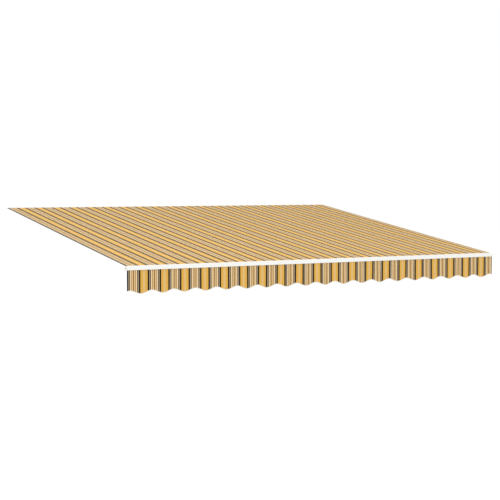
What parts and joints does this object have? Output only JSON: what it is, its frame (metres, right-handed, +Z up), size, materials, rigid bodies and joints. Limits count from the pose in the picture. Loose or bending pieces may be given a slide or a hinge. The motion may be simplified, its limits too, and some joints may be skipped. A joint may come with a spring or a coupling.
{
  "type": "fabric awning",
  "caption": "Striped awning canopy sewn from lapped widths, on a white front bar that also carries a straight valance with a wavy bound edge.",
  "frame": {"origin": "middle of the rear keder rod, on which the awning's rear edge is held", "axes": "+X along the width, the canopy projects towards -Y and falls towards its front bar, +Z up"},
  "size_m": [4.524, 3.5043, 0.7656],
  "materials": {
    "awning_cloth": "plain woven, striped in golden yellow, beige, cream, tan, grey-brown and near black",
    "binding_tape": "off-white woven tape",
    "keder_rod": "extruded PVC",
    "coated_bar": "white powder coat on extruded aluminium",
    "moulded_cap": "white moulded",
    "cast_bracket": "white powder coat on cast aluminium",
    "plated_steel": "zinc plated"
  },
  "bodies": {
    "root": {"canopy_width_1": "awning_cloth", "canopy_width_2": "awning_cloth", "canopy_width_3": "awning_cloth", "canopy_width_4": "awning_cloth", "valance_width_1": "awning_cloth", "valance_width_2": "awning_cloth", "valance_width_3": "awning_cloth", "valance_width_4": "awning_cloth", "valance_binding": "binding_tape", "rear_keder": "keder_rod", "front_keder": "keder_rod", "valance_keder": "keder_rod", "front_bar": "coated_bar", "end_cap_left": "moulded_cap", "end_cap_right": "moulded_cap", "cap_screw_left_1": "plated_steel", "cap_screw_left_2": "plated_steel", "cap_screw_left_3": "plated_steel", "cap_screw_right_1": "plated_steel", "cap_screw_right_2": "plated_steel", "cap_screw_right_3": "plated_steel", "arm_bracket_left": "cast_bracket", "arm_bracket_right": "cast_bracket", "bracket_bolt_left_1": "plated_steel", "bracket_bolt_left_2": "plated_steel", "bracket_bolt_right_1": "plated_steel", "bracket_bolt_right_2": "plated_steel", "bracket_nut_left_1": "plated_steel", "bracket_nut_left_2": "plated_steel", "bracket_nut_right_1": "plated_steel", "bracket_nut_right_2": "plated_steel"}
  },
  "joints": []
}
